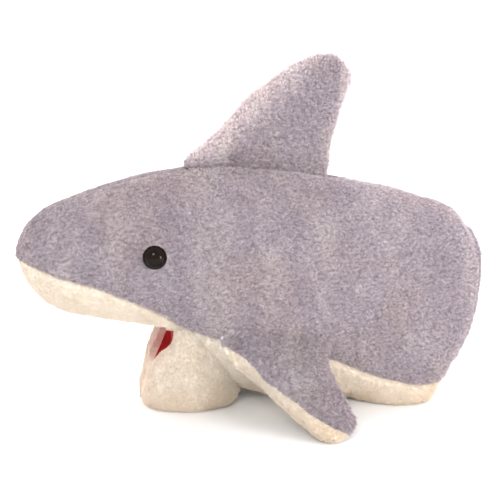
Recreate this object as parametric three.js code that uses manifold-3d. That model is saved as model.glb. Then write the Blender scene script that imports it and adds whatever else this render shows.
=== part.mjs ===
// A plush shark hand puppet: a stuffed body sleeve open at the rear, a lower jaw worked by the thumb,
// a dorsal fin and two side fins. The nose points to -X, the back to +Z and the shark's left to -Y.
// The puppet stands on its jaw, belly and side fins. The origin is on the table, under the middle.
import * as THREE from "three";
import { mergeVertices } from "three/addons/utils/BufferGeometryUtils.js";
import Module from "manifold-3d";

const wasm = await Module();
wasm.setup();

// ---------- driving dimensions, in millimetres and radians ----------
const GAP = 0.35; // clearance between pieces that touch
const SKIN = 6; // plush fabric with its pile
const LINING = 1.2;
const FELT = 2; // red mouth fabric
const BOARD = 1.6; // foam stiffener behind the mouth fabric
const REAR_LEAN = 27; // how far the belly stops short of the back at the rear opening
const HEM_BULGE = 5; // how far the rolled hem stands out behind the skin
const EYE_RADIUS = 7;
const EYE_HEIGHT = 5.5;
const EYE_ANGLE = 1.47; // how far round the head from the ridge, in radians
const POST_RADIUS = 1.6;
const WASHER_RADIUS = 8;
const JAW_HINGE = new THREE.Vector3(-53, 0, 42);
const JAW_HANG = THREE.MathUtils.degToRad(79); // slope of the resting jaw below level
const JAW_TRAVEL = THREE.MathUtils.degToRad(60);
const FOLD_RADIUS = 2.5;
const FIN_SWAY = THREE.MathUtils.degToRad(20);
const SIDE_FIN_LIFT = THREE.MathUtils.degToRad(60);
const SIDE_FIN_DROP = THREE.MathUtils.degToRad(15);

// Cross-sections along the body from the nose: x, top, bottom, half width.
const BODY_STATIONS = [
  [-136.8, 95, 92, 1.6],
  [-134.5, 103, 83.5, 12],
  [-129.5, 110.5, 75.5, 20],
  [-121, 117, 67.5, 27],
  [-108, 123, 61, 34],
  [-86, 130.5, 55, 41],
  [-65, 136, 50, 46],
  [-46, 139.5, 45, 49.5],
  [-31, 142, 24, 52],
  [-14, 143, 8, 54],
  [12, 141, 3, 55.5],
  [50, 133, 0, 56],
  [84, 124.5, -12, 55],
  [110, 116.5, -12, 53],
  [124, 111, -4, 50.5],
  [131.8, 105, 5, 47],
];
const NOSE = 0;
const PALATE_FRONT = 2.9; // station of the front of the mouth fabric
const MOUTH_BACK = 6.5; // station of the mouth's corners, where the belly panel starts
const REAR = BODY_STATIONS.length - 1;

// Where the grey back meets the cream underside on each flank: x, z.
const SEAM_LINE = [
  [-137, 93.5],
  [-130, 91],
  [-116, 86],
  [-94.5, 80],
  [-78, 72.5],
  [-58, 62],
  [-46, 53],
  [-34, 49],
  [-20, 46],
  [12, 41],
  [40, 33],
  [55, 26],
  [73, 19],
  [93, 14.5],
  [110, 15],
  [140, 16],
];

// The bag for the hand, from the fingertips above the mouth to the rear opening: x, top, bottom, half width.
const HAND_STATIONS = [
  [-108, 93, 81, 7],
  [-104, 101, 73, 17],
  [-92, 107, 68, 26],
  [-70, 112, 64, 32],
  [-40, 119, 60, 36],
  [-14, 127, 42, 38.5],
  [12, 127, 21, 40.5],
  [50, 120, 19, 41],
  [84, 110, 15, 40],
  [110, 102, 15, 38],
  [124, 96.5, 18, 35.5],
  [131.8, 90, 24, 32],
];

// The lower jaw along its own axis from the hinge: distance, mouth side, throat side, half width.
const JAW_STATIONS = [
  [1, -2, -9, 30],
  [10, 3, -21, 34],
  [20, 6, -32, 33.5],
  [31, 6.5, -36, 31],
  [40, 5, -36, 27],
  [45.5, -1, -31, 19],
  [47.5, -9, -21, 7],
];
// The open scoop between the lips, and the pocket for the thumb behind it, on the same axis.
const SCOOP_STATIONS = [
  [-6, 20, -4, 20],
  [8, 20, -6, 22],
  [20, 20, -8, 22],
  [30, 20, -7.5, 18],
  [37, 20, -2, 9],
];
const THUMB_STATIONS = [
  [-14, -11, -28, 17],
  [6, -11, -26, 16],
  [18, -11.5, -28, 15],
  [30, -13, -28, 12],
  [35, -16, -25, 6],
];
// The thumb's way from the hand bag into the jaw, on the same axis.
const PASSAGE_STATIONS = [
  [-52, -6, -33, 22],
  [-20, -9, -32, 21],
  [14, -10.5, -29, 19],
];

// Fin outlines. The dorsal fin's is x, z on the body's middle plane. A side fin's lies in its own plane:
// distance back along the root and distance out from it.
const DORSAL_OUTLINE = [
  [-36, 138],
  [-22, 157],
  [2, 182.5],
  [26, 198.5],
  [37, 204],
  [46, 207],
  [54, 204.5],
  [60, 198],
  [62, 191],
  [60, 182],
  [56, 170],
  [52, 155],
  [49, 136],
  [45, 112],
  [22, 108],
  [-8, 112],
];
const DORSAL_HALF_THICKNESS = 12;
const DORSAL_HINGE = [new THREE.Vector3(-25, 0, 144), new THREE.Vector3(52, 0, 135)];
const SIDE_FIN_OUTLINE = [
  [4, -16],
  [0, 0],
  [9, 13],
  [20, 27],
  [31, 39],
  [39, 47],
  [47, 52],
  [55, 51],
  [62, 46],
  [66, 40],
  [63, 30],
  [58, 18],
  [54, 4],
  [48, -16],
  [26, -20],
];
const SIDE_FIN_HALF_THICKNESS = 7;
const SIDE_FIN_ROOT = [new THREE.Vector3(-17, -54, 42), new THREE.Vector3(43, -56, 33)];
const SIDE_FIN_DROOP = THREE.MathUtils.degToRad(39); // slope of the resting fin below level

// ---------- closed meshes ----------
function closedMesh(vertices, triangles) {
  const at = (corner) => vertices[corner];
  let volume = 0;
  for (const [a, b, c] of triangles) {
    volume += at(a).dot(new THREE.Vector3().crossVectors(at(b), at(c)));
  }
  const facingOut = volume > 0 ? triangles : triangles.map(([a, b, c]) => [a, c, b]);
  const geometry = new THREE.BufferGeometry();
  geometry.setFromPoints(vertices);
  geometry.setIndex(facingOut.flat());
  return geometry;
}

// A curved sheet with a thickness: pointAt(i, v, face) gives row i of its outer face (0) and inner face (1).
function slab(pointAt, rows, columns) {
  const vertices = [];
  const triangles = [];
  const index = (i, j, face) => (i * (columns + 1) + j) * 2 + face;
  const quad = (a, b, c, d) => triangles.push([a, b, c], [a, c, d]);
  for (let i = 0; i <= rows; i++) {
    for (let j = 0; j <= columns; j++) {
      vertices.push(pointAt(i, j / columns, 0), pointAt(i, j / columns, 1));
    }
  }
  for (let i = 0; i < rows; i++) {
    for (let j = 0; j < columns; j++) {
      quad(index(i, j, 0), index(i + 1, j, 0), index(i + 1, j + 1, 0), index(i, j + 1, 0));
      quad(index(i, j, 1), index(i, j + 1, 1), index(i + 1, j + 1, 1), index(i + 1, j, 1));
    }
    quad(index(i, 0, 0), index(i, 0, 1), index(i + 1, 0, 1), index(i + 1, 0, 0));
    quad(index(i, columns, 0), index(i + 1, columns, 0), index(i + 1, columns, 1), index(i, columns, 1));
  }
  for (let j = 0; j < columns; j++) {
    quad(index(0, j, 0), index(0, j + 1, 0), index(0, j + 1, 1), index(0, j, 1));
    quad(index(rows, j, 0), index(rows, j, 1), index(rows, j + 1, 1), index(rows, j + 1, 0));
  }
  return closedMesh(vertices, triangles);
}

// A solid through rings of points, with a fan over its first and last ring.
function throughRings(rings) {
  const count = rings[0].length;
  const vertices = rings.flat();
  const triangles = [];
  for (let i = 0; i + 1 < rings.length; i++) {
    for (let j = 0; j < count; j++) {
      const next = (j + 1) % count;
      const [a, b, c, d] = [i * count + j, (i + 1) * count + j, (i + 1) * count + next, i * count + next];
      triangles.push([a, b, c], [a, c, d]);
    }
  }
  const ends = [[rings[0], 0, false], [rings.at(-1), (rings.length - 1) * count, true]];
  for (const [ring, start, turned] of ends) {
    const middle = ring.reduce((sum, p) => sum.add(p), new THREE.Vector3()).divideScalar(count);
    const centre = vertices.push(middle) - 1;
    for (let j = 0; j < count; j++) {
      const [a, b] = [start + j, start + ((j + 1) % count)];
      triangles.push(turned ? [centre, b, a] : [centre, a, b]);
    }
  }
  return closedMesh(vertices, triangles);
}

function solid(geometry) {
  const bare = geometry.clone();
  bare.deleteAttribute("normal");
  bare.deleteAttribute("uv");
  const merged = mergeVertices(bare, 1e-4);
  return new wasm.Manifold(
    new wasm.Mesh({
      numProp: 3,
      vertProperties: new Float32Array(merged.attributes.position.array),
      triVerts: new Uint32Array(merged.index.array),
    }),
  );
}

function geometryOf(manifold) {
  const mesh = manifold.getMesh();
  const geometry = new THREE.BufferGeometry();
  geometry.setAttribute("position", new THREE.BufferAttribute(mesh.vertProperties, mesh.numProp));
  geometry.setIndex(new THREE.BufferAttribute(mesh.triVerts, 1));
  return geometry;
}

// A box as a cutting tool, from its lowest to its highest corner.
function block(low, high) {
  const size = new THREE.Vector3().subVectors(high, low);
  const box = new THREE.BoxGeometry(size.x, size.y, size.z);
  const middle = low.clone().addScaledVector(size, 0.5);
  return solid(box.translate(middle.x, middle.y, middle.z));
}

// ---------- lofts: smooth bodies through stations of distance, top, bottom and half width ----------
class Loft {
  constructor(stations, squareness, { lean = 0, floor = -Infinity } = {}) {
    this.last = stations.length - 1;
    this.curve = new THREE.CubicInterpolant(stations.map((_, i) => i), stations.flat(), 4);
    this.power = 2 / squareness;
    this.lean = lean;
    this.floor = floor;
  }

  // The surface at a station and an angle round it: 0 on the ridge, a quarter turn on the left flank.
  point(station, angle) {
    const [x, top, bottom, half] = this.curve.evaluate(station);
    const [c, s] = [Math.cos(angle), Math.sin(angle)];
    const round = (v) => Math.sign(v) * Math.abs(v) ** this.power;
    const under = ((1 - c) / 2) ** 1.6;
    const leaning = this.lean * THREE.MathUtils.smoothstep(station, this.last - 4, this.last) * under;
    const z = (top + bottom) / 2 + ((top - bottom) / 2) * round(c);
    return new THREE.Vector3(x - leaning, -half * round(s), Math.max(z, this.floor));
  }

  normal(station, angle) {
    const step = 1e-3;
    const from = Math.max(station - step, 0);
    const to = Math.min(station + step, this.last);
    const along = this.point(to, angle).sub(this.point(from, angle));
    const around = this.point(station, angle + step).sub(this.point(station, angle - step));
    return new THREE.Vector3().crossVectors(around, along).normalize();
  }

  // A point under the surface. Near a narrow end the depth is held to a share of the half height there.
  layer(station, angle, depth) {
    const [, top, bottom] = this.curve.evaluate(station);
    const held = Math.min(depth, 0.3 * (top - bottom));
    return this.point(station, angle).addScaledVector(this.normal(station, angle), -held);
  }

  ring(station, depth, count) {
    const angle = (j) => ((j + 0.5) / count) * 2 * Math.PI;
    return Array.from({ length: count }, (_, j) => this.layer(station, angle(j), depth));
  }

  // The closed solid at a depth under the surface. A tail carries its last ring on along x.
  core(from, to, depth, rows, count, tail = 0) {
    const station = (i) => from + ((to - from) * i) / rows;
    const rings = Array.from({ length: rows + 1 }, (_, i) => this.ring(station(i), depth, count));
    if (tail) rings.push(rings.at(-1).map((p) => p.clone().add(new THREE.Vector3(tail, 0, 0))));
    return solid(throughRings(rings));
  }
}

const body = new Loft(BODY_STATIONS, 2.25, { lean: REAR_LEAN, floor: 0 });
const hand = new Loft(HAND_STATIONS, 2.25, { lean: REAR_LEAN });
const jaw = new Loft(JAW_STATIONS, 2.4);
const scoop = new Loft(SCOOP_STATIONS, 2.2);
const thumb = new Loft(THUMB_STATIONS, 2.1);
const passage = new Loft(PASSAGE_STATIONS, 2.2);

const seamHeight = new THREE.CubicInterpolant(
  SEAM_LINE.map(([x]) => x),
  SEAM_LINE.map(([, z]) => z),
  1,
);

// The angle at which a station's flank crosses the seam between grey and cream.
function seamAngle(station) {
  let [above, below] = [0.3, Math.PI - 0.05];
  for (let i = 0; i < 30; i++) {
    const middle = (above + below) / 2;
    const p = body.point(station, middle);
    if (p.z > seamHeight.evaluate(p.x)[0]) above = middle;
    else below = middle;
  }
  return (above + below) / 2;
}

// Half the gap between two panels, as an angle at a station.
function gapAngle(station) {
  const [, top, bottom, half] = body.curve.evaluate(station);
  return GAP / 2 / ((half + (top - bottom) / 2) / 2);
}

// A panel of the body between two stations, two angles given at each station, and two depths. Its rows
// lie at the half stations, so that neighbouring panels share them.
function panel(from, to, angles, outer, inner, columns) {
  const rows = [from];
  for (let half = Math.floor(from * 2 + 1.2); half < to * 2 - 0.2; half++) rows.push(half / 2);
  rows.push(to);
  return slab(
    (i, v, face) => {
      const [first, last] = angles(rows[i]);
      return body.layer(rows[i], first + (last - first) * v, face ? inner : outer);
    },
    rows.length - 1,
    columns,
  );
}

// ---------- materials ----------
const cloth = (color, roughness) => new THREE.MeshStandardMaterial({ color, roughness, metalness: 0 });
const GREY_PLUSH = cloth(0xa8a2ad, 0.95);
const CREAM_PLUSH = cloth(0xf0e4d2, 0.95);
const RED_FELT = cloth(0xb5202a, 0.9);
const WHITE_FILL = cloth(0xf4f2ee, 1);
const LINING_CLOTH = cloth(0x9a96a0, 0.8);
const FOAM = cloth(0xd8d4cc, 0.9);
const BLACK_PLASTIC = cloth(0x0c0a0a, 0.12);
const WASHER_PLASTIC = cloth(0xe6e4df, 0.5);

const shark = new THREE.Group();

function add(name, shape, material) {
  const geometry = shape.isBufferGeometry ? shape : geometryOf(shape);
  const mesh = new THREE.Mesh(geometry, material);
  mesh.name = name;
  shark.add(mesh);
}

// ---------- eyes: a domed head on a post through the skin, held by a washer inside ----------
function eyePlacement(side) {
  const [station, angle] = [6.05, side * EYE_ANGLE];
  const out = body.normal(station, angle);
  const turn = new THREE.Quaternion().setFromUnitVectors(new THREE.Vector3(0, 1, 0), out);
  return new THREE.Matrix4().compose(body.point(station, angle), turn, new THREE.Vector3(1, 1, 1));
}

// A turned shape on the eye's own axis, which points out of the head.
function turned(profile, segments) {
  return new THREE.LatheGeometry(profile.map(([r, y]) => new THREE.Vector2(r, y)), segments);
}

function eyeShape() {
  const dome = Array.from({ length: 6 }, (_, i) => {
    const rise = (i / 5) * (Math.PI / 2);
    return [EYE_RADIUS * Math.cos(rise), EYE_HEIGHT * Math.sin(rise) + 0.4];
  });
  dome[dome.length - 1][0] = 0;
  return turned([[0, -13], [POST_RADIUS, -13], [POST_RADIUS, 0.4], ...dome], 18);
}

function washerShape() {
  const [low, high] = [-SKIN - 3.2, -SKIN - 1.4];
  const hole = POST_RADIUS + 0.3;
  return turned([[hole, low], [WASHER_RADIUS, low], [WASHER_RADIUS, high], [hole, high], [hole, low]], 18);
}

// What an eye and its washer need cut out of the skin and the stuffing.
function eyeHole(side) {
  const post = new THREE.CylinderGeometry(POST_RADIUS + GAP, POST_RADIUS + GAP, 30, 12);
  const bed = new THREE.CylinderGeometry(WASHER_RADIUS + GAP, WASHER_RADIUS + GAP, 5, 18);
  bed.translate(0, -SKIN - 1.6, 0);
  const place = eyePlacement(side);
  return { post: solid(post.applyMatrix4(place)), bed: solid(bed.applyMatrix4(place)) };
}

// ---------- the body's skin ----------
const SIDES = [["left", 1], ["right", -1]];
const eyeHoles = Object.fromEntries(SIDES.map(([name, side]) => [name, eyeHole(side)]));

for (const [name, side] of SIDES) {
  const angles = (station) => [side * gapAngle(station), side * (seamAngle(station) - gapAngle(station))];
  const skin = solid(panel(NOSE, REAR, angles, 0, SKIN, 7));
  add(`back_panel_${name}`, skin.subtract(eyeHoles[name].post), GREY_PLUSH);
}

const underAngles = (station) => [
  seamAngle(station) + gapAngle(station),
  2 * Math.PI - seamAngle(station) - gapAngle(station),
];

// The oval of mouth fabric under the snout, between its front and the mouth's corners.
function palateAngles(station, margin) {
  const widening = THREE.MathUtils.smoothstep(station, PALATE_FRONT - 0.3, PALATE_FRONT + 1.6);
  const half = 0.36 + 0.2 * widening + margin / 30;
  return [Math.PI - half, Math.PI + half];
}

// A layer of the mouth's roof between two depths, drawn in from the oval's edge by a margin.
function palateLayer(outer, inner, margin) {
  const front = PALATE_FRONT + margin / 10;
  return panel(front, MOUTH_BACK, (t) => palateAngles(t, -margin), outer, inner, 6);
}
const palateHole = solid(panel(PALATE_FRONT - 0.08, MOUTH_BACK + 1, (t) => palateAngles(t, 0.8), -3, 8, 6));
const snout = solid(panel(NOSE, MOUTH_BACK, underAngles, 0, SKIN, 10));
add("snout_underside", snout.subtract(palateHole), CREAM_PLUSH);
add("mouth_roof", palateLayer(1.2, 1.2 + FELT, 0), RED_FELT);
add("upper_mouth_board", palateLayer(3.6, 3.6 + BOARD, 1), FOAM);

// The lower jaw is shaped on its own axis: x out from the hinge, z towards the mouth side.
const jawFrame = new THREE.Matrix4().makeBasis(
  new THREE.Vector3(-Math.cos(JAW_HANG), 0, -Math.sin(JAW_HANG)),
  new THREE.Vector3(0, -1, 0),
  new THREE.Vector3(-Math.sin(JAW_HANG), 0, Math.cos(JAW_HANG)),
);
jawFrame.setPosition(JAW_HINGE);
const inJaw = (manifold) => solid(geometryOf(manifold).applyMatrix4(jawFrame));

// The thumb's way from the hand bag down into the jaw.
const thumbPassage = inJaw(passage.core(0, passage.last, 0, 6, 16));
const foldRoom = crossRod(FOLD_RADIUS + GAP, 80);
const belly = solid(panel(MOUTH_BACK + 0.04, REAR, underAngles, 0, SKIN, 12));
add("belly_panel", belly.subtract(thumbPassage).subtract(foldRoom), CREAM_PLUSH);

// A rod across the body on the jaw's hinge line.
function crossRod(radius, length) {
  const rod = new THREE.CylinderGeometry(radius, radius, length, 12);
  return solid(rod.translate(JAW_HINGE.x, 0, JAW_HINGE.z));
}
add("mouth_fold", crossRod(FOLD_RADIUS, 54), RED_FELT);

// ---------- stuffing and the hand lining ----------
const handBag = (depth, tail) => hand.core(0, hand.last - 0.16, depth, 14, 20, tail);
add("hand_lining", handBag(0, 0).subtract(handBag(LINING, 30)).subtract(thumbPassage), LINING_CLOTH);

const eyeCuts = Object.values(eyeHoles).flatMap(({ post, bed }) => [post, bed]);
const cuts = [handBag(-GAP, 30), thumbPassage, ...eyeCuts];
const filled = body.core(2.4, REAR - 0.3, SKIN + 2, 22, 26);
add("body_stuffing", cuts.reduce((left, cut) => left.subtract(cut), filled), WHITE_FILL);

for (const [name, side] of SIDES) {
  add(`${name}_eye`, eyeShape().applyMatrix4(eyePlacement(side)), BLACK_PLASTIC);
  add(`${name}_eye_washer`, washerShape().applyMatrix4(eyePlacement(side)), WASHER_PLASTIC);
}

// ---------- the rolled hem round the rear opening, grey above and cream below ----------
function hem(from, to, steps) {
  const profile = 8;
  const rings = Array.from({ length: steps + 1 }, (_, i) => {
    const angle = from + ((to - from) * i) / steps;
    const outside = body.point(REAR, angle);
    const inside = hand.layer(hand.last, angle, LINING);
    return Array.from({ length: profile }, (_, j) => {
      const turn = (j / (profile - 1)) * Math.PI;
      const p = outside.clone().lerp(inside, (1 - Math.cos(turn)) / 2);
      return p.add(new THREE.Vector3(0.6 + HEM_BULGE * Math.sin(turn), 0, 0));
    });
  });
  return throughRings(rings);
}
const rearSeam = seamAngle(REAR);
const rearGap = gapAngle(REAR);
add("back_hem", hem(-rearSeam + rearGap, rearSeam - rearGap, 20), GREY_PLUSH);
add("belly_hem", hem(rearSeam + rearGap, 2 * Math.PI - rearSeam - rearGap, 10), CREAM_PLUSH);

// ---------- moving parts ----------
const underTable = block(new THREE.Vector3(-300, -300, -100), new THREE.Vector3(300, 300, 0));
const envelope = body.core(0, REAR, -1.1, 15, 28);

// Turns a solid about an axis through a point.
function turnedAbout(manifold, point, axis, angle) {
  const turn = new THREE.Matrix4().makeRotationAxis(axis.clone().normalize(), angle);
  const there = new THREE.Matrix4().makeTranslation(point.x, point.y, point.z);
  const back = new THREE.Matrix4().makeTranslation(-point.x, -point.y, -point.z);
  return solid(geometryOf(manifold).applyMatrix4(there.multiply(turn).multiply(back)));
}

// The room the body takes up in a moving part's own frame, over the angles its joint passes through.
function sweptBody(point, axis, angles) {
  return angles.map((angle) => turnedAbout(envelope, point, axis, -angle)).reduce((all, one) => all.add(one));
}

// ---------- the lower jaw ----------
const besideJaw = sweptBody(JAW_HINGE, new THREE.Vector3(0, 1, 0), [0, JAW_TRAVEL / 2, JAW_TRAVEL]);
const jawRoom = [underTable, besideJaw, foldRoom];
const fitJaw = (manifold) => jawRoom.reduce((left, cut) => left.subtract(cut), inJaw(manifold));

const jawWhole = jaw.core(0, jaw.last, 0, 12, 20);
const jawInside = jaw.core(0.35, jaw.last - 0.5, SKIN, 8, 18);
const jawFilling = jaw.core(0.7, jaw.last - 0.9, SKIN + 2.6, 8, 18);
const scoopAt = (depth) => scoop.core(0, scoop.last, depth, 8, 16);
const [scoopSpace, scoopCloth, scoopRoom] = [0, -FELT, -FELT - GAP].map(scoopAt);
const [thumbSpace, thumbCloth, thumbRoom] = [LINING, 0, -GAP].map((d) => thumb.core(0, thumb.last, d, 8, 12));
add("jaw_skin", fitJaw(jawWhole.subtract(jawInside).subtract(scoopRoom).subtract(thumbRoom)), CREAM_PLUSH);
add("jaw_lining", fitJaw(jawWhole.intersect(scoopCloth).subtract(scoopSpace)), RED_FELT);
const jawPadding = jawFilling.intersect(jawInside).subtract(scoopRoom).subtract(thumbRoom);
add("jaw_stuffing", fitJaw(jawPadding), WHITE_FILL);
add("thumb_pocket", fitJaw(thumbCloth.subtract(thumbSpace)), LINING_CLOTH);

// ---------- fins: pillows through a flat outline, as two sewn panels over a stuffed core ----------
// The outline shrinks towards its middle as the pillow rises from its edge to its crown.
function pillow(outline, halfThickness, inset) {
  const curve = new THREE.CatmullRomCurve3(outline.map(([a, b]) => new THREE.Vector3(a, b, 0)), true);
  const edge = curve.getSpacedPoints(28).slice(0, -1);
  const middle = edge.reduce((sum, p) => sum.add(p), new THREE.Vector3()).divideScalar(edge.length);
  const steps = 8;
  const rings = Array.from({ length: steps + 1 }, (_, i) => {
    const turn = ((0.25 + (i / steps) * (steps - 0.5)) / steps) * Math.PI;
    return edge.map((p) => {
      const outward = p.clone().sub(middle);
      const reach = outward.length() - inset;
      const flat = outward.normalize().multiplyScalar(reach * Math.sin(turn)).add(middle);
      return flat.setZ((halfThickness - inset) * Math.cos(turn));
    });
  });
  return solid(throughRings(rings));
}

// Adds a fin's two panels and its stuffing. place turns the flat pillow into its position on the shark,
// and the first panel is on the side that its z axis points to.
function addFin([front, back], stuffingName, outline, halfThickness, skin, place, room) {
  const whole = pillow(outline, halfThickness, 0);
  const hollow = pillow(outline, halfThickness, skin);
  const filling = pillow(outline, halfThickness, skin + 0.8);
  const shell = whole.subtract(hollow);
  const far = 300;
  const halves = [
    block(new THREE.Vector3(-far, -far, -far), new THREE.Vector3(far, far, GAP / 2)),
    block(new THREE.Vector3(-far, -far, -GAP / 2), new THREE.Vector3(far, far, far)),
  ];
  const fit = (manifold) => solid(geometryOf(manifold).applyMatrix4(place)).subtract(room);
  add(front[0], fit(shell.subtract(halves[0])), front[1]);
  add(back[0], fit(shell.subtract(halves[1])), back[1]);
  add(stuffingName, fit(filling), WHITE_FILL);
}

// Upright on the body's middle plane, with the pillow's thickness across the body.
const upright = new THREE.Matrix4().makeBasis(
  new THREE.Vector3(1, 0, 0),
  new THREE.Vector3(0, 0, 1),
  new THREE.Vector3(0, -1, 0),
);
const dorsalAxis = DORSAL_HINGE[1].clone().sub(DORSAL_HINGE[0]);
const underDorsal = sweptBody(DORSAL_HINGE[0], dorsalAxis, [-FIN_SWAY, 0, FIN_SWAY]);
const dorsalPanels = [
  ["dorsal_fin_left_panel", GREY_PLUSH],
  ["dorsal_fin_right_panel", GREY_PLUSH],
];
addFin(dorsalPanels, "dorsal_fin_stuffing", DORSAL_OUTLINE, DORSAL_HALF_THICKNESS, 4, upright, underDorsal);

for (const [name, side] of SIDES) {
  const mirror = new THREE.Vector3(1, side, 1);
  const [front, rear] = SIDE_FIN_ROOT.map((p) => p.clone().multiply(mirror));
  const along = rear.clone().sub(front).normalize();
  const level = new THREE.Vector3(0, -side, 0);
  const outward = level.addScaledVector(along, -level.dot(along)).normalize();
  outward.applyAxisAngle(along, side * SIDE_FIN_DROOP);
  const across = new THREE.Vector3().crossVectors(along, outward);
  const place = new THREE.Matrix4().makeBasis(along, outward, across).setPosition(front);
  const turns = [-SIDE_FIN_LIFT, -SIDE_FIN_LIFT / 2, 0, SIDE_FIN_DROP].map((angle) => side * angle);
  const room = sweptBody(front, along, turns);
  const panels = [
    [`${name}_fin_top_panel`, GREY_PLUSH],
    [`${name}_fin_under_panel`, CREAM_PLUSH],
  ];
  if (side > 0) panels.reverse();
  addFin(panels, `${name}_fin_stuffing`, SIDE_FIN_OUTLINE, SIDE_FIN_HALF_THICKNESS, 3, place, room);
}

// The middle of the whole comes over the origin, with its lowest point on the table.
const extent = new THREE.Box3().setFromObject(shark);
const middle = extent.getCenter(new THREE.Vector3());
for (const mesh of shark.children) mesh.geometry.translate(-middle.x, -middle.y, -extent.min.z);

export default shark;
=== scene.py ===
# A plush shark hand puppet on a pale table: stuffed plush skins, a worked jaw, fins, eyes and an open sleeve.
import math

import bmesh
import bpy
import numpy as np
from mathutils import Matrix, Vector, noise


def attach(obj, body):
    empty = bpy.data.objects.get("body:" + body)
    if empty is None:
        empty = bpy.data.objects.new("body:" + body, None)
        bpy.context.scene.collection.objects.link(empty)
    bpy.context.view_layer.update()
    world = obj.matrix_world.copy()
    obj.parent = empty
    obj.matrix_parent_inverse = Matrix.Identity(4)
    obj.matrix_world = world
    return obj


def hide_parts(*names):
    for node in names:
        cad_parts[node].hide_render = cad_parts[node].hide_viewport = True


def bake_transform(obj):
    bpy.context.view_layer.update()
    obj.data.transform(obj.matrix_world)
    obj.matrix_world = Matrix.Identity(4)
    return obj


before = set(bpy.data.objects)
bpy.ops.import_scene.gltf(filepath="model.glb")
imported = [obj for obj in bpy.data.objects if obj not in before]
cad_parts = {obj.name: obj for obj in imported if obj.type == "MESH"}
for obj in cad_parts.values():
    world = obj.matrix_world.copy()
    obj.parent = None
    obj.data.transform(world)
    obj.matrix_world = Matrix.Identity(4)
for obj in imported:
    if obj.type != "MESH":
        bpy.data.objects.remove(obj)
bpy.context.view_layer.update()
MM = 0.001
SQUARENESS = 2.25  # of the sections of the body and the hand's bag: 2 would be an ellipse
ARM = 50  # about how far the body's skin is from its middle, to turn angles into millimetres
SEAM_ARM = 45  # the same near the seams
STEP = 1.5  # spacing of the skins' points
REST_HEIGHT = 0.15  # of the skins' lowest points, so that they don't dip through the table

# ---------------------------------------------------------------- shape data, in millimetres
# Cross-sections along the body from the nose: x, top, bottom, half width.
BODY = np.array([
    (-136.8, 95, 92, 1.6), (-134.5, 103, 83.5, 12), (-129.5, 110.5, 75.5, 20), (-121, 117, 67.5, 27),
    (-108, 123, 61, 34), (-86, 130.5, 55, 41), (-65, 136, 50, 46), (-46, 139.5, 45, 49.5),
    (-31, 142, 27, 51), (-14, 143, 12, 53.5), (12, 141, 3.5, 55.5), (50, 133, 0, 56),
    (84, 124.5, -20, 55), (110, 117.5, -18, 53), (124, 111.5, -7, 50), (131.8, 102, 5, 46),
])
NOSE, MOUTH_BACK, REAR = 0.0, 6.5, 15.0  # places in the table above, counted in rows
PALATE_FRONT = 2.9  # the same, of the front of the mouth's red roof
# The bag for the hand, from the fingertips to the rear opening: x, top, bottom, half width.
HAND = np.array([
    (-108, 93, 81, 7), (-104, 101, 73, 17), (-92, 107, 68, 26), (-70, 112, 64, 32), (-40, 119, 60, 36),
    (-14, 127, 42, 38.5), (12, 127, 21, 40.5), (50, 120, 19, 41), (84, 110, 15, 40),
    (110, 102, 15, 38), (124, 96.5, 18, 35.5), (131.8, 90, 24, 32),
])
REAR_LEAN = 27  # how far the bottom of the rear opening is ahead of its top
LEANING_ROWS = 4
# Where the grey back meets the cream underside on the flank: x, z.
SEAM = np.array([
    (-137, 93.5), (-130, 91), (-116, 86), (-94.5, 80), (-78, 72.5), (-58, 62), (-46, 53), (-34, 49),
    (-20, 46), (12, 41), (40, 33), (55, 26), (73, 19), (93, 14.5), (110, 15), (140, 16),
])
# The jaw along its own axis from the hinge: distance, mouth side, throat side, half width.
JAW = np.array([
    (-16, 1, -30, 33), (-8, 0, -36, 33.5), (1, 0, -42, 34), (10, 4, -48, 34.5), (20, 6, -50, 33.5),
    (31, 6.5, -48.5, 31), (40, 6.5, -42, 28), (45.5, 4.5, -34, 23), (47.5, 0, -24, 12),
])
# The groove between its lips: distance, half width, depth, how far each lip's crest is from the middle.
GROOVE = np.array([
    (-16, 16, 7.5, 27), (0, 16, 7, 27), (5, 14, 8.5, 26), (10, 9.5, 10, 24), (14, 6, 9, 21),
    (19, 1.8, 7, 19.5), (32, 1, 4, 18), (48, 0.5, 0, 12),
])
# The thumb's way down into it: distance, mouth side, throat side, half width.
THUMB = np.array([
    (-22, -8.5, -32.5, 19.5), (-8, -9, -32, 19), (6, -10.5, -29, 17), (17, -11.5, -28, 15),
    (26, -12.5, -27, 12), (31, -15.5, -24, 6),
])
JAW_HANG = math.radians(79)
# The dorsal fin's outline: x, z. Its lowest points are inside the back.
DORSAL = [
    (-42, 140), (-29, 158.5), (-2.5, 184.5), (23.5, 201), (35, 206), (46, 208), (55, 205.5), (61.5, 199),
    (62, 191), (60, 182), (56, 170), (52, 155), (49, 137), (45, 122), (22, 118), (-8, 122),
]
# A side fin's outline, along and out from its root.
SIDE_FIN = [
    (-8, -22), (-13, -8), (-8, 5), (5.5, 16.5), (17, 29.5), (28, 41), (38, 50), (47, 55), (55, 53.5),
    (62, 47), (66, 40), (63, 30), (58, 18), (54, 4), (50, -22), (22, -26),
]
# Where its grey upper cloth ends, along and out from the root.
FIN_CREAM = np.array([
    (-22, -9), (-13, -6), (-8, -3), (-3, 1.5), (3, 8), (11, 16), (16, 21.5), (22.5, 28), (31, 35.5),
    (38, 41.5), (44, 45), (50, 47.5), (57, 48), (66, 45),
])
SIDE_FIN_ROOT = ((-17, -54, 42), (43, -56, 33))  # its front and rear ends, on the left flank
SIDE_FIN_DROOP = math.radians(39)


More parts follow.
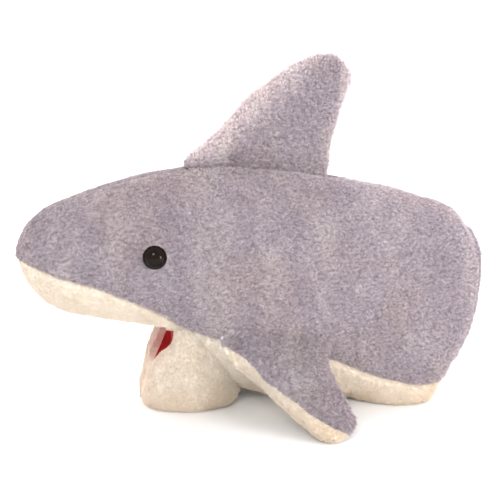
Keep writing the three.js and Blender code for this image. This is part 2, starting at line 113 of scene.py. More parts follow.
# ---------------------------------------------------------------- small tools
def catmull(table, t):
    """The rows of a table at fractional row numbers t, on a smooth curve through them."""
    t = np.clip(np.asarray(t, float), 0, len(table) - 1)
    i = np.minimum(t.astype(int), len(table) - 2)
    f = (t - i)[..., None]
    p1, p2 = table[i], table[i + 1]
    p0 = np.where((i > 0)[..., None], table[np.maximum(i - 1, 0)], 2 * p1 - p2)
    p3 = np.where((i < len(table) - 2)[..., None], table[np.minimum(i + 2, len(table) - 1)], 2 * p2 - p1)
    square, cube = 2 * p0 - 5 * p1 + 4 * p2 - p3, 3 * p1 - p0 - 3 * p2 + p3
    return 0.5 * (2 * p1 + (p2 - p0) * f + square * f**2 + cube * f**3)


def smoothstep(x, a, b):
    x = np.clip((x - a) / (b - a), 0, 1)
    return x * x * (3 - 2 * x)


def ripple(points, size, seed=0.0, stretch=(1, 1, 1)):
    """Smooth noise in -1..1 at each point, with lumps of about the given size in millimetres."""
    scaled = np.asarray(points) / (size * np.array(stretch)) + seed
    flat = scaled.reshape(-1, 3)
    return np.array([noise.noise(Vector(p)) for p in flat]).reshape(scaled.shape[:-1])


def squarish(v, power):
    """A sine or cosine, bent to draw a section that is squarer than an ellipse."""
    return np.sign(v) * np.abs(v) ** (2 / power)


def loft_points(table, t, angle, floor=None):
    """Points at row numbers t and at angles counted from the top round by the left."""
    x, top, bottom, half = np.moveaxis(catmull(table, t), -1, 0)
    c, s = np.cos(angle), np.sin(angle)
    last = len(table) - 1
    x = x - REAR_LEAN * smoothstep(t, last - LEANING_ROWS, last) * ((1 - c) / 2) ** 1.6
    z = (top + bottom) / 2 + (top - bottom) / 2 * squarish(c, SQUARENESS)
    if floor is not None:
        z = np.maximum(z, floor)
    return np.stack([x, -half * squarish(s, SQUARENESS), z], -1)


def loft_normals(table, t, angle):
    """Outward normals of a loft, by small steps along and round it."""
    step = 1e-3
    along = loft_points(table, t + step, angle) - loft_points(table, t - step, angle)
    around = loft_points(table, t, angle + step) - loft_points(table, t, angle - step)
    n = np.cross(around, along)
    return n / np.maximum(np.linalg.norm(n, axis=-1, keepdims=True), 1e-9)


def settle(height, floor):
    """Heights that come to rest softly on a floor."""
    above = height - floor
    softness = 6  # in square millimetres
    return floor + (above + np.sqrt(above**2 + softness)) / 2


def mesh_object(name, vertices, faces):
    mesh = bpy.data.meshes.new(name)
    mesh.from_pydata((np.asarray(vertices) * MM).tolist(), [], faces)
    mesh.update()
    obj = bpy.data.objects.new(name, mesh)
    bpy.context.scene.collection.objects.link(obj)
    mesh.shade_smooth()
    return obj


def grid_object(name, points, wrap=False, cap_start=False, cap_end=False, flip=False):
    """A mesh over rows of points. wrap joins each row's ends, and a cap closes the first or last row."""
    rows, cols = points.shape[:2]
    vertices = points.reshape(-1, 3)
    faces = []
    for i in range(rows - 1):
        for j in range(cols if wrap else cols - 1):
            k = (j + 1) % cols
            faces.append((i * cols + j, i * cols + k, (i + 1) * cols + k, (i + 1) * cols + j))
    for want, row in ((cap_start, 0), (cap_end, rows - 1)):
        if want:
            middle = points[row].mean(axis=0)
            vertices = np.vstack([vertices, middle])
            centre = len(vertices) - 1
            for j in range(cols):
                a, b = row * cols + j, row * cols + (j + 1) % cols
                faces.append((centre, b, a) if row == 0 else (centre, a, b))
    if flip:
        faces = [tuple(reversed(f)) for f in faces]
    return mesh_object(name, vertices, faces)


def select_only(obj):
    for other in bpy.context.selected_objects:
        other.select_set(False)
    obj.select_set(True)
    bpy.context.view_layer.objects.active = obj


def apply_modifier(obj, modifier):
    select_only(obj)
    bpy.ops.object.modifier_apply(modifier=modifier.name)


def face_outward(obj):
    bm = bmesh.new()
    bm.from_mesh(obj.data)
    bmesh.ops.recalc_face_normals(bm, faces=bm.faces)
    bm.to_mesh(obj.data)
    bm.free()


def coordinates(obj):
    flat = np.empty(len(obj.data.vertices) * 3, np.float32)
    obj.data.vertices.foreach_get("co", flat)
    return flat.reshape(-1, 3).astype(float) / MM


def vertex_normals(obj):
    flat = np.empty(len(obj.data.vertices) * 3, np.float32)
    obj.data.vertex_normals.foreach_get("vector", flat)
    return flat.reshape(-1, 3).astype(float)


def set_coordinates(obj, points):
    obj.data.vertices.foreach_set("co", (points * MM).astype(np.float32).ravel())
    obj.data.update()


# ---------------------------------------------------------------- materials
def srgb(value):
    return tuple(v / 12.92 if v <= 0.04045 else ((v + 0.055) / 1.055) ** 2.4 for v in value) + (1.0,)


class Nodes:
    """A short way to write a material's node tree."""

    def __init__(self, name):
        self.material = bpy.data.materials.new(name)
        self.material.use_nodes = True
        self.tree = self.material.node_tree
        self.shader = self.tree.nodes["Principled BSDF"]
        self.object = self.add("ShaderNodeTexCoord").outputs["Object"]

    def add(self, kind, **settings):
        node = self.tree.nodes.new(kind)
        for key, value in settings.items():
            if key in node.inputs:
                node.inputs[key].default_value = value
            else:
                setattr(node, key, value)
        return node

    def link(self, output, socket):
        self.tree.links.new(output, socket)

    def scaled(self, scale):
        node = self.add("ShaderNodeMapping")
        node.inputs["Scale"].default_value = scale
        self.link(self.object, node.inputs["Vector"])
        return node.outputs["Vector"]

    def noise(self, scale, detail=3.0, vector=None, roughness=0.5):
        node = self.add("ShaderNodeTexNoise", Scale=scale, Detail=detail, Roughness=roughness)
        self.link(vector or self.object, node.inputs["Vector"])
        return node.outputs["Fac"]

    def ramp(self, factor, stops):
        node = self.add("ShaderNodeValToRGB")
        elements = node.color_ramp.elements
        while len(elements) < len(stops):
            elements.new(0.5)
        for element, (place, colour) in zip(elements, stops):
            element.position, element.color = place, colour
        self.link(factor, node.inputs["Fac"])
        return node.outputs["Color"]

    def mix(self, factor, a, b, blend="MIX"):
        node = self.add("ShaderNodeMix", data_type="RGBA", blend_type=blend)
        for value, socket in ((factor, node.inputs[0]), (a, node.inputs[6]), (b, node.inputs[7])):
            if isinstance(value, (int, float, tuple)):
                socket.default_value = value
            else:
                self.link(value, socket)
        return node.outputs[2]

    def height(self):
        node = self.add("ShaderNodeSeparateXYZ")
        self.link(self.object, node.inputs["Vector"])
        return node.outputs["Z"]

    def fade(self, value, start, end, first, last):
        """From first at start to last at end, smoothly."""
        node = self.add("ShaderNodeMapRange", interpolation_type="SMOOTHSTEP")
        self.link(value, node.inputs["Value"])
        for name, number in (("From Min", start), ("From Max", end), ("To Min", first), ("To Max", last)):
            node.inputs[name].default_value = number
        return node.outputs["Result"]

    def bump(self, height, strength, distance, previous=None):
        node = self.add("ShaderNodeBump", Strength=strength, Distance=distance)
        self.link(height, node.inputs["Height"])
        if previous is not None:
            self.link(previous, node.inputs["Normal"])
        return node.outputs["Normal"]


def plush(name, dark, base, light, tint, depth, roots, tips, painted_warm_light=None, painted_rim_edges=()):
    """Short pile plush: soft bands where the nap lies differently, fine tufts, lighter tips partly brightened
    as painted rim light, and a sheen; optionally a painted orange light near the table and painted rim light
    along given edges.
    """
    m = Nodes(name)
    broad = m.noise(24.0, 2.0)
    bands = m.noise(52.0, 3.0, m.scaled((1.0, 0.7, 0.35)), 0.6)
    tufts = m.noise(560.0, 2.0, m.scaled((0.7, 1.0, 1.1)), 0.6)
    specks = m.noise(1500.0, 1.0)
    colour = m.ramp(bands, [(0.32, dark), (0.5, base), (0.68, light)])
    colour = m.mix(m.ramp(broad, [(0.42, (0, 0, 0, 1)), (0.66, (1, 1, 1, 1))]), colour, tint, "MULTIPLY")
    shade = m.ramp(tufts, [(0.32, (0.55, 0.53, 0.54, 1)), (0.5, (1, 1, 1, 1)), (0.68, (1.3, 1.3, 1.3, 1))])
    colour = m.mix(depth, colour, shade, "MULTIPLY")
    speck = m.ramp(specks, [(0.3, (0.75, 0.75, 0.75, 1)), (0.7, (1.2, 1.2, 1.2, 1))])
    colour = m.mix(depth / 2, colour, speck, "MULTIPLY")
    if painted_warm_light:  # painted orange light near the table, standing in for light that has passed through the pile
        low = m.ramp(m.height(), [(0.0, (0.35, 0.35, 0.35, 1)), (0.022, (0, 0, 0, 1))])
        colour = m.mix(low, colour, painted_warm_light, "MULTIPLY")
    for across, start, reach in painted_rim_edges:  # painted rim light: the fin's edges are painted lighter there, where light from behind catches the pile
        depth_in = m.add("ShaderNodeVectorMath", operation="DOT_PRODUCT")
        m.link(m.object, depth_in.inputs[0])
        depth_in.inputs[1].default_value = across
        near = m.fade(depth_in.outputs["Value"], start, start + reach, 1.0, 0.0)
        above = m.fade(m.height(), 0.139, 0.15, 0.0, 1.0)  # only above the back, in the same cloth
        both = m.add("ShaderNodeMath", operation="MULTIPLY")
        m.link(near, both.inputs[0])
        m.link(above, both.inputs[1])
        colour = m.mix(both.outputs[0], colour, m.mix(1.0, colour, (1.6, 1.62, 1.55, 1), "MULTIPLY"))
    # Darker roots and brighter tips: partly the pile's own lighter tips, brightened further as painted rim
    # light so that grazing edges look lighter.
    strand = m.add("ShaderNodeHairInfo")
    along = m.ramp(strand.outputs["Intercept"], [(0.0, roots), (0.5, (0.98, 0.98, 0.98, 1)), (1.0, tips)])
    tipped = m.mix(1.0, colour, along, "MULTIPLY")
    colour = m.mix(strand.outputs["Is Strand"], colour, tipped)
    m.link(colour, m.shader.inputs["Base Color"])
    m.link(m.bump(tufts, 0.6, 0.0008, m.bump(bands, 0.25, 0.002)), m.shader.inputs["Normal"])
    m.shader.inputs["Roughness"].default_value = 0.92
    m.shader.inputs["Specular IOR Level"].default_value = 0.15
    m.shader.inputs["Sheen Weight"].default_value = 0.7
    m.shader.inputs["Sheen Roughness"].default_value = 0.5
    m.shader.inputs["Sheen Tint"].default_value = light
    return m.material


# Planes along the dorsal fin's front and rear edges, for its painted rim light: the way in from each, where
# it starts, and how far the painted light reaches.
DORSAL_PAINTED_RIM = (((0.67, 0, -0.742), -0.134, 0.017), ((-0.987, 0, 0.16), -0.031, 0.014))
# The grey's brightened tips are partly painted rim light, and its lighter dorsal fin edges are painted rim
# light.
GREY = plush(
    "grey_plush_pile", srgb((0.655, 0.615, 0.65)), srgb((0.69, 0.65, 0.675)), srgb((0.73, 0.695, 0.71)),
    tint=(0.98, 0.95, 0.925, 1), depth=0.8, roots=(0.62, 0.6, 0.61, 1), tips=(1.55, 1.55, 1.5, 1),
    painted_rim_edges=DORSAL_PAINTED_RIM)
# The cream's orange tint near the table is painted light.
CREAM = plush(
    "cream_plush_pile", srgb((0.90, 0.858, 0.80)), srgb((0.922, 0.885, 0.835)), srgb((0.945, 0.912, 0.872)),
    tint=(1.0, 0.98, 0.955, 1), depth=0.1, roots=(0.92, 0.9, 0.88, 1), tips=(1.1, 1.1, 1.08, 1),
    painted_warm_light=(1.0, 0.86, 0.72, 1))


def felt_material():
    m = Nodes("red_felt")
    fibres = m.noise(900.0, 4.0, roughness=0.7)
    blotch = m.noise(120.0, 2.0)
    reds = [(0.3, srgb((0.55, 0.06, 0.09))), (0.55, srgb((0.74, 0.11, 0.14))), (0.8, srgb((0.84, 0.2, 0.2)))]
    patches = m.ramp(blotch, [(0.3, (0.85, 0.85, 0.85, 1)), (0.7, (1, 1, 1, 1))])
    colour = m.mix(0.5, m.ramp(fibres, reds), patches, "MULTIPLY")
    m.link(colour, m.shader.inputs["Base Color"])
    m.link(m.bump(fibres, 0.5, 0.0005), m.shader.inputs["Normal"])
    m.shader.inputs["Roughness"].default_value = 0.85
    m.shader.inputs["Sheen Weight"].default_value = 0.2
    return m.material


def woven_material():
    m = Nodes("lining_weave")
    threads, across = (
        m.add("ShaderNodeTexWave", wave_type="BANDS", bands_direction=way, Scale=scale, Distortion=1.2)
        for way, scale in (("X", 420.0), ("DIAGONAL", 300.0))
    )
    for node in (threads, across):
        m.link(m.object, node.inputs["Vector"])
    weave = m.mix(0.5, threads.outputs["Color"], across.outputs["Color"])
    colour = m.ramp(weave, [(0.2, srgb((0.52, 0.51, 0.56))), (0.8, srgb((0.66, 0.65, 0.7)))])
    patches = m.ramp(m.noise(60.0), [(0.3, (0.8, 0.8, 0.8, 1)), (0.7, (1, 1, 1, 1))])
    colour = m.mix(0.4, colour, patches, "MULTIPLY")
    m.link(colour, m.shader.inputs["Base Color"])
    m.link(m.bump(weave, 0.4, 0.0003), m.shader.inputs["Normal"])
    m.shader.inputs["Roughness"].default_value = 0.75
    return m.material


def eye_material():
    m = Nodes("black_gloss_eye")
    haze = m.ramp(m.noise(300.0, 2.0), [(0.3, (0.005, 0.0025, 0.002, 1)), (0.8, (0.012, 0.006, 0.004, 1))])
    m.link(haze, m.shader.inputs["Base Color"])
    m.shader.inputs["Roughness"].default_value = 0.05
    m.shader.inputs["Specular IOR Level"].default_value = 0.12
    return m.material


def plain_material(name, low, high, roughness, scale):
    m = Nodes(name)
    grain = m.noise(scale, 4.0)
    m.link(m.ramp(grain, [(0.3, srgb(low)), (0.7, srgb(high))]), m.shader.inputs["Base Color"])
    m.link(m.bump(grain, 0.2, 0.0005), m.shader.inputs["Normal"])
    m.shader.inputs["Roughness"].default_value = roughness
    return m.material


RED = felt_material()
WEAVE = woven_material()
EYE = eye_material()
FOAM = plain_material("foam_sheet", (0.78, 0.76, 0.72), (0.88, 0.86, 0.82), 0.9, 700.0)
WASHER = plain_material("washer_plastic", (0.84, 0.84, 0.82), (0.92, 0.92, 0.9), 0.5, 200.0)
FLOOR = plain_material("table_top", (0.985, 0.985, 0.985), (0.99, 0.99, 0.99), 0.8, 3.0)


# ---------------------------------------------------------------- fur
HAIR_SECONDS = 100 / 24  # a strand is as long as its growing speed times this
STRANDS = 8.0  # on each square millimetre
TUFTS = 0.55  # on each square millimetre, to which the strands are clumped


def grow_fur(obj, length, nap, seed, shorter=None):
    """Short strands over a piece, leaning along nap. shorter gives each vertex its share of the length."""
    area = sum(p.area for p in obj.data.polygons) / MM**2
    children = int(STRANDS / TUFTS)
    obj.modifiers.new("fur", "PARTICLE_SYSTEM")
    system = obj.particle_systems[-1]
    system.seed = seed
    if shorter is not None:
        group = obj.vertex_groups.new(name="pile")
        for number, share in enumerate(shorter):
            group.add([number], float(share), "REPLACE")
        system.vertex_group_length = group.name
    s = system.settings
    s.type = "HAIR"
    s.count = int(area * TUFTS)
    s.hair_step = 3
    s.use_modifier_stack = False
    s.emit_from = "FACE"
    s.use_emit_random = True
    s.use_even_distribution = True
    s.distribution = "RAND"
    s.use_advanced_hair = True
    s.hair_length = length * MM
    speed = length * MM / HAIR_SECONDS
    s.normal_factor = 0.62 * speed
    s.object_align_factor = [v * speed for v in nap]
    s.factor_random = 0.22 * speed
    s.length_random = 0.3
    s.child_type = "INTERPOLATED"
    s.child_percent = children
    s.rendered_child_count = children
    s.child_length = 1.0
    s.clump_factor = 0.45
    s.clump_shape = 0.1
    s.roughness_1 = 0.0003
    s.roughness_1_size = 0.003
    s.roughness_2 = 0.0004
    s.roughness_2_size = 0.002
    s.roughness_endpoint = 0.0004
    s.root_radius = 1.0
    s.tip_radius = 0.35
    s.radius_scale = 0.00012
    s.render_step = 3
    s.display_step = 3
    s.material = 1


# ---------------------------------------------------------------- stuffed and split pieces
CLOTH_FRAMES = 20


def closed_curve(outline, count):
    """Evenly spaced points on a smooth closed curve through an outline."""
    ring = np.array([*outline[-3:], *outline, *outline[:3]], float)
    fine = catmull(ring, np.linspace(3, 3 + len(outline), 800))
    length = np.concatenate([[0], np.cumsum(np.linalg.norm(np.diff(fine, axis=0), axis=1))])
    places = np.linspace(0, length[-1], count, endpoint=False)
    return np.stack([np.interp(places, length, fine[:, k]) for k in (0, 1)], -1)


def stuffed_shape(name, outline, half_thickness, inset, cap, pressure):
    """A closed pillow inside an outline, blown up by stuffing. Local axes: outline in x and y."""
    edge = closed_curve(outline, 72)
    middle = edge.mean(axis=0)
    outward = edge - middle
    reach = np.linalg.norm(outward, axis=1, keepdims=True)
    turns = np.linspace(0.03, math.pi - 0.03, 15)
    rings = []
    for turn in turns:
        flat = middle + outward / reach * (reach - inset) * math.sin(turn) ** 0.8
        rings.append(np.column_stack([flat, np.full(len(flat), (half_thickness - inset) * math.cos(turn))]))
    obj = grid_object(name, np.array(rings), wrap=True, cap_start=True, cap_end=True)
    face_outward(obj)
    remesh = obj.modifiers.new("remesh", "REMESH")
    remesh.mode, remesh.voxel_size = "VOXEL", 4 * MM
    apply_modifier(obj, remesh)
    start = coordinates(obj)
    cloth = obj.modifiers.new("cloth", "CLOTH")
    settings = cloth.settings
    settings.use_pressure = True
    settings.uniform_pressure_force = pressure
    settings.effector_weights.gravity = 0
    settings.tension_stiffness = settings.compression_stiffness = 30
    settings.bending_stiffness = 0.4
    settings.quality = 6
    cloth.point_cache.frame_start, cloth.point_cache.frame_end = 1, CLOTH_FRAMES
    for number in range(1, CLOTH_FRAMES + 1):
        bpy.context.scene.frame_set(number)
    apply_modifier(obj, cloth)
    moved = coordinates(obj) - start
    distance = np.linalg.norm(moved, axis=1, keepdims=True)
    set_coordinates(obj, start + moved * np.minimum(1, cap / np.maximum(distance, 1e-9)))
    bpy.context.scene.frame_set(1)
    subdivide = obj.modifiers.new("subdivide", "SUBSURF")
    subdivide.levels = subdivide.render_levels = 2
    apply_modifier(obj, subdivide)
    obj.data.shade_smooth()
    return obj


def roughen(obj, seed, lumps=0.7, tufts=0.28, floor=None, stretch=(1, 1, 1)):
    """Soft lumps of stuffing and the fine relief of the pile."""
    points, normals = coordinates(obj), vertex_normals(obj)
    move = lumps * ripple(points, 15, seed) + 0.4 * lumps * ripple(points, 6, seed + 5)
    move = move + tufts * ripple(points, 2.4, seed + 9, stretch)
    points = points + normals * move[:, None]
    if floor is not None:
        points[:, 2] = settle(points[:, 2], floor)
    set_coordinates(obj, points)


def split(obj, keep, name_in, name_out):
    """Two new pieces from the faces of obj: those most of whose vertices are in keep, and the rest."""
    points = coordinates(obj)
    groups = {name_in: ([], {}), name_out: ([], {})}
    for polygon in obj.data.polygons:
        inside = 2 * sum(keep[v] for v in polygon.vertices) > len(polygon.vertices)
        faces, used = groups[name_in if inside else name_out]
        faces.append([used.setdefault(v, len(used)) for v in polygon.vertices])
    pieces = []
    for name, (faces, used) in groups.items():
        order = list(used)
        pieces.append((mesh_object(name, points[order], faces), order))
    bpy.data.objects.remove(obj)
    return pieces


# ---------------------------------------------------------------- torso skins
SEAM_ORDER = np.argsort(SEAM[:, 0])


def seam_height(x):
    rows = np.interp(x, SEAM[SEAM_ORDER, 0], np.arange(len(SEAM)))
    return catmull(SEAM[SEAM_ORDER], rows)[..., 1]


def seam_angles(t):
    """How far round from the top the seam lies at each station, by halving."""
    low, high = np.full(len(t), 0.3), np.full(len(t), math.pi - 0.05)
    for _ in range(30):
        middle = (low + high) / 2
        p = loft_points(BODY, t, middle, 0)
        above = p[:, 2] > seam_height(p[:, 0])
        low, high = np.where(above, middle, low), np.where(above, high, middle)
    return (low + high) / 2


def even_stations(start, end, step):
    """Row numbers of BODY between start and end, about a step apart along the flank."""
    fine = np.linspace(start, end, 2000)
    p = np.concatenate([loft_points(BODY, fine, np.full(2000, a)) for a in (0.0, 1.5)], 1)
    length = np.concatenate([[0], np.cumsum(np.linalg.norm(np.diff(p, axis=0), axis=1) / math.sqrt(2))])
    return np.interp(np.linspace(0, length[-1], int(length[-1] / step) + 1), length, fine)


EYE_STATION, EYE_ANGLE = 6.05, 1.47


def eye_place(side):
    """The point of the body's surface under an eye, and the way out of the head there."""
    t, angle = np.array([EYE_STATION]), np.array([side * EYE_ANGLE])
    return loft_points(BODY, t, angle)[0], loft_normals(BODY, t, angle)[0]


def palate_mask(t, angle):
    """Positive inside the oval of mouth fabric under the snout, in about millimetres from its edge."""
    arm = 46
    half = 0.36 + 0.2 * smoothstep(t, PALATE_FRONT - 0.3, PALATE_FRONT + 1.6)
    sideways = np.abs(angle - math.pi) / half
    ahead = np.clip((PALATE_FRONT + 0.8 - t) / 0.8, 0, None)
    return (1 - np.hypot(sideways, ahead)) * half * arm


def fin_crease(points):
    """One along the line where the dorsal fin is sewn on, fading to nothing beside it."""
    x, y = points[..., 0], np.abs(points[..., 1])
    middle, half_length, half_width, crease_width = 9, 44, 9.5, 2.6
    base = half_width * np.sqrt(np.clip(1 - ((x - middle) / half_length) ** 2, 0, 1))
    crease = np.exp(-(((y - base) / crease_width) ** 2))
    return crease * smoothstep(x, -42, -34) * (1 - smoothstep(x, 50, 58)) * (points[..., 2] > 115)


def fin_pocket(points):
    """One in the hollow behind each side fin's root, fading to nothing round it."""
    away = (points - np.array([31, 0, 38.5])) * np.array([1, 0, 1.8])
    return np.exp(-(away**2).sum(axis=-1) / 34) * (np.abs(points[..., 1]) > 45)


def tuck(away, depth, width):
    """A seam's dent: depth at the seam, fading to nothing at width from it."""
    return -depth * (1 - smoothstep(away, 0.0, width)) ** 1.5


def torso_skin(name, start, end, between, palate=False):
    """A skin over part of the torso, from start to end, between two angles given at each station."""
    t = even_stations(start, end, STEP)
    seam = seam_angles(t)[:, None]
    first, last = between(seam[:, 0])
    span = np.max(np.abs(last - first)) * ARM
    v = np.linspace(0, 1, int(span / STEP) + 1)
    angle = first[:, None] + (last - first)[:, None] * v
    tt = np.repeat(t[:, None], len(v), 1)
    points = loft_points(BODY, tt, angle, 0)
    normals = loft_normals(BODY, tt, angle)
    rest = smoothstep(points[..., 2], 0.3, 9)  # nothing moves where the belly lies on the table
    lumps = 1.3 * ripple(points, 42, 3.1) + 0.8 * ripple(points, 19, 9.7) + 0.4 * ripple(points, 7.5, 1.7)
    folds = 1.1 * ripple(points, 17, 6.2, (1, 1.5, 5)) * smoothstep(points[..., 0], -40, 20)
    tufts = 0.3 * ripple(points, 2.6, 5.3, (1.8, 1, 1))
    full = 2 * math.pi
    edge = np.minimum(np.abs(angle - seam), np.abs(angle % full + seam - full)) * SEAM_ARM
    ridge = np.minimum(angle % full, -angle % full) * SEAM_ARM
    small = smoothstep(t, 0.0, 2.0)[:, None]
    under = smoothstep(-np.cos(angle), -0.1, 0.5) * (1 - smoothstep(t, 2.5, 5.0))[:, None]
    swell = (2.4 - 1.9 * smoothstep(t, 1.5, 7.5)[:, None]) * (1 - 0.6 * under)
    move = ((lumps + folds) * rest + tufts + tuck(edge, 1.6, 4.0) + tuck(ridge, 0.7, 2.5)) * small + swell
    move = move - 3.4 * fin_crease(points) - 4.5 * fin_pocket(points)
    mask = palate_mask(tt, angle) if palate else np.full(tt.shape, -9.0)
    move = move - 2.6 * smoothstep(mask, -1.2, 1.6) + 0.9 * np.exp(-((mask + 3) / 2.5) ** 2)
    points = points + normals * move[..., None]
    points[..., 2] = settle(points[..., 2], REST_HEIGHT)
    if start == NOSE:  # closed at the tip
        tip = np.broadcast_to((points[0, :, 0].min() - 0.6, 0, BODY[0, 1:3].mean()), points[:1].shape)
        points, mask = np.concatenate([tip, points]), np.concatenate([mask[:1], mask])
    return grid_object(name, points), mask.ravel()


def eyes_clear(obj):
    """Each vertex's share of the pile's length: least under the eyes and in the hollows by the fins."""
    points = coordinates(obj)
    away = np.min([np.linalg.norm(points - eye_place(side)[0], axis=1) for side in (1, -1)], axis=0)
    hollows = np.maximum(fin_crease(points), fin_pocket(points))
    return (smoothstep(away, 6.3, 9.0) * 0.9 + 0.1) * (1 - 0.8 * hollows)


NAP = (0.5, 0, -0.12)
for label, sides, angles in (
    ("left", 1, lambda seam: (0 * seam, seam)),
    ("right", -1, lambda seam: (-seam, 0 * seam)),
):
    back, _ = torso_skin(f"back_plush_{label}", NOSE, REAR, angles)
    back.data.materials.append(GREY)
    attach(back, "torso")
    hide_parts(f"back_panel_{label}", *(["body_stuffing"] if label == "left" else []))
    grow_fur(back, 2.7, NAP, 11 + sides, shorter=eyes_clear(back))

underside = lambda seam: (seam, 2 * math.pi - seam)
belly_whole, _ = torso_skin("belly_whole", MOUTH_BACK, REAR, underside)
at = coordinates(belly_whole)
corner = (at[:, 0] < -38.5) & (np.abs(at[:, 1]) < 20) & (at[:, 2] < 60)  # open to the mouth's back
(cut, _), (belly, _) = split(belly_whole, corner, "mouth_corner_cut", "belly_plush")
bpy.data.objects.remove(cut)
snout_whole, mask = torso_skin("snout_whole", NOSE, MOUTH_BACK + 0.1, underside, palate=True)
(palate, _), (snout, order) = split(snout_whole, mask > 0, "mouth_roof_felt", "snout_underside_plush")
near_palate = 1 - 0.65 * smoothstep(mask[order], -3.5, -0.5)
for piece, node, seed, shorter in (
    (belly, "belly_panel", 14, None),
    (snout, "snout_underside", 13, near_palate),
):
    piece.data.materials.append(CREAM)
    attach(piece, "torso")
    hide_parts(node)
    grow_fur(piece, 2.0, (0.45, 0, -0.1), seed, shorter=shorter)
palate.data.materials.append(RED)
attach(palate, "torso")
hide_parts("mouth_roof")

# ---------------------------------------------------------------- the rolled hem round the rear opening
HEM_BULGE = 4.5


def hem_roll(name, first, last, material, node, seed):
    """Plush rolled over the edge of the opening, from the skin's end to the end of the hand lining."""
    angle = np.linspace(first, last, int(abs(last - first) * ARM / STEP) + 1)
    turn = np.linspace(0, math.pi, 15)
    outside = loft_points(BODY, np.full(len(angle), REAR), angle, 0)
    inside = loft_points(HAND, np.full(len(angle), len(HAND) - 1.0), angle)
    across = (1 - np.cos(turn)) / 2
    points = outside[:, None] + (inside - outside)[:, None] * across[None, :, None]
    points[..., 0] += HEM_BULGE * np.sin(turn) ** 0.8
    lumps = 0.8 * ripple(points, 14, 2.2) + 0.5 * ripple(points, 6, 7.7) + 0.25 * ripple(points, 2.4, 4.4)
    outward = outside - inside
    outward /= np.linalg.norm(outward, axis=1, keepdims=True)
    swell = 0.5 * np.sin(np.clip(turn * 2, 0, math.pi))
    points = points + outward[:, None] * (swell + lumps)[..., None]
    points[..., 0] += lumps * np.sin(turn)
    points[..., 2] = settle(points[..., 2], REST_HEIGHT)
    roll = grid_object(name, points, flip=True)
    roll.data.materials.append(material)
    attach(roll, "torso")
    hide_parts(node)
    grow_fur(roll, 2.4, (0.2, 0, 0), seed)


rear_seam = float(seam_angles(np.array([REAR]))[0])
hem_roll("back_hem_roll", -rear_seam, rear_seam, GREY, "back_hem", 15)
hem_roll("belly_hem_roll", rear_seam, 2 * math.pi - rear_seam, CREAM, "belly_hem", 16)

# ---------------------------------------------------------------- the mouth's fold and the cloth for the hand
HINGE = np.array([-53, 0, 42])
JAW_AXES = np.array([
    (-math.cos(JAW_HANG), 0, -math.sin(JAW_HANG)), (0, -1, 0), (-math.sin(JAW_HANG), 0, math.cos(JAW_HANG)),
])


def jaw_to_world(points):
    """From distance along the jaw, sideways, and towards its mouth side, to the shared frame."""
    return HINGE + np.asarray(points, float) @ JAW_AXES


# The fold's section, x and z, from under the snout down into the jaw.
FOLD = np.array([(-49.5, 59), (-50, 55), (-49.5, 50.5), (-48, 45.5), (-47, 40), (-47, 34)])
fold_line = catmull(FOLD, np.linspace(0, len(FOLD) - 1, 26))
reach = np.linspace(-25, 25, 39)
fold = np.stack(np.broadcast_arrays(fold_line[:, :1], reach[None, :], fold_line[:, 1:]), -1).copy()
fold[..., 0] -= 0.0005 * fold[..., 1] ** 2
fold += 0.5 * ripple(fold, 9, 3.7)[..., None]
fold_felt = grid_object("mouth_fold_felt", fold)
fold_felt.data.materials.append(RED)
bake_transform(fold_felt)
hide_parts("mouth_fold")

t = np.linspace(0, len(HAND) - 1.05, 150)[:, None]
turn = np.linspace(0, 2 * math.pi, 160, endpoint=False)[None, :]
t, turn = np.broadcast_arrays(t, turn)
bag = loft_points(HAND, t, turn)
wrinkles = 1.0 * ripple(bag, 16, 1.1, (2.5, 1, 1)) + 0.5 * ripple(bag, 6, 8.3, (2, 1, 1))
bag -= loft_normals(HAND, t, turn) * (0.6 + np.abs(wrinkles))[..., None]
in_jaw = (bag - HINGE) @ JAW_AXES.T  # distance along the jaw, sideways, and towards its mouth side
thumb_hole = (in_jaw[..., 0] > -45) & ((in_jaw[..., 1] / 18) ** 2 + ((in_jaw[..., 2] + 20.5) / 11) ** 2 < 1)
whole = grid_object("bag_whole", bag, wrap=True, cap_start=True, flip=True)
hole = np.append(thumb_hole.ravel(), False)
(cut, _), (lining, _) = split(whole, hole, "thumb_hole_cut", "hand_lining_bag")
bpy.data.objects.remove(cut)
lining.data.materials.append(WEAVE)
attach(lining, "torso")
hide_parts("hand_lining")

turn = np.linspace(0, 2 * math.pi, 72, endpoint=False)[None, :]
dist, mouth, throat, half = (v[:, None] for v in catmull(THUMB, np.linspace(0, len(THUMB) - 1, 50)).T)
tube = jaw_to_world(np.stack(np.broadcast_arrays(
    dist, half * np.sin(turn), (mouth + throat) / 2 + (mouth - throat) / 2 * np.cos(turn)), -1))
tube += 0.6 * ripple(tube, 9, 2.9)[..., None]
thumb_tube = grid_object("thumb_pocket_tube", tube, wrap=True, cap_end=True)
thumb_tube.data.materials.append(WEAVE)
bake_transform(thumb_tube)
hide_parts("thumb_pocket")

# ---------------------------------------------------------------- stuffed fins
dorsal = stuffed_shape("dorsal_fin_plush", DORSAL, half_thickness=11.5, inset=1.5, cap=5, pressure=3.0)
flat = coordinates(dorsal)
set_coordinates(dorsal, np.column_stack([flat[:, 0], -flat[:, 2], flat[:, 1]]))
roughen(dorsal, 3.3, lumps=1.0, stretch=(1, 1, 2))
dorsal.data.materials.append(GREY)
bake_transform(dorsal)
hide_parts("dorsal_fin_left_panel", "dorsal_fin_right_panel", "dorsal_fin_stuffing")
grow_fur(dorsal, 2.7, (0.2, 0, 0.5), 21)


def flank_width(x, z):
    """How far the body's side stands from the middle at each x and z."""
    rows = np.interp(x, BODY[:, 0], np.arange(len(BODY)))
    _, top, bottom, half = np.moveaxis(catmull(BODY, rows), -1, 0)
    c = np.clip(np.abs(z - (top + bottom) / 2) / ((top - bottom) / 2), 0, 1)
    return half * (1 - c**SQUARENESS) ** (1 / SQUARENESS)


ROOT_SOFTNESS = 7  # how widely a side fin's root rounds into the flank

